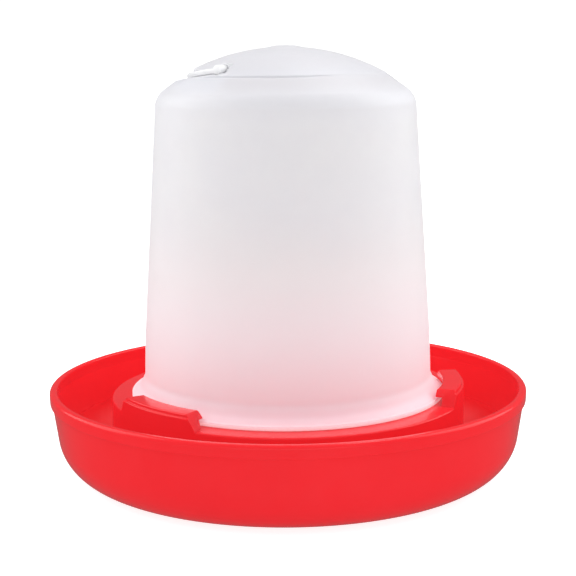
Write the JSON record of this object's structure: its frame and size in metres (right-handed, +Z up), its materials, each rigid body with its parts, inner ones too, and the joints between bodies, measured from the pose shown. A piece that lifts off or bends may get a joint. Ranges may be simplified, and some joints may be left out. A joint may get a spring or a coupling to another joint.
{
  "type": "poultry waterer fount",
  "caption": "Siphon drinker for poultry: a translucent bell reservoir held under hooks on a round red drinking tray, with a folding half-ring carry handle on its dome.",
  "frame": {"origin": "on the drinker's vertical axis, in the plane that the tray stands on", "axes": "+Z up along the axis, the shortest overall dimension; -Y is the front, with the outlet channel at the back right"},
  "size_m": [0.2046, 0.2046, 0.1812],
  "materials": {
    "tray_red": "glossy injection-moulded red polypropylene",
    "natural_polypropylene": "satin translucent natural polypropylene"
  },
  "bodies": {
    "tray": {"tray": "tray_red"},
    "bell": {"reservoir": "natural_polypropylene"},
    "handle": {"carry_handle": "natural_polypropylene"}
  },
  "joints": [
    {"name": "reservoir_lift", "type": "slide", "parent": "tray", "child": "bell", "axis": [0, 0, 1], "range_m": [0, 0.07]},
    {"name": "handle_swing", "type": "hinge", "parent": "bell", "child": "handle", "pos_m": [0, 0, 0.1718], "axis": [0.6626, 0.749, 0], "range_deg": [0, 130]}
  ]
}
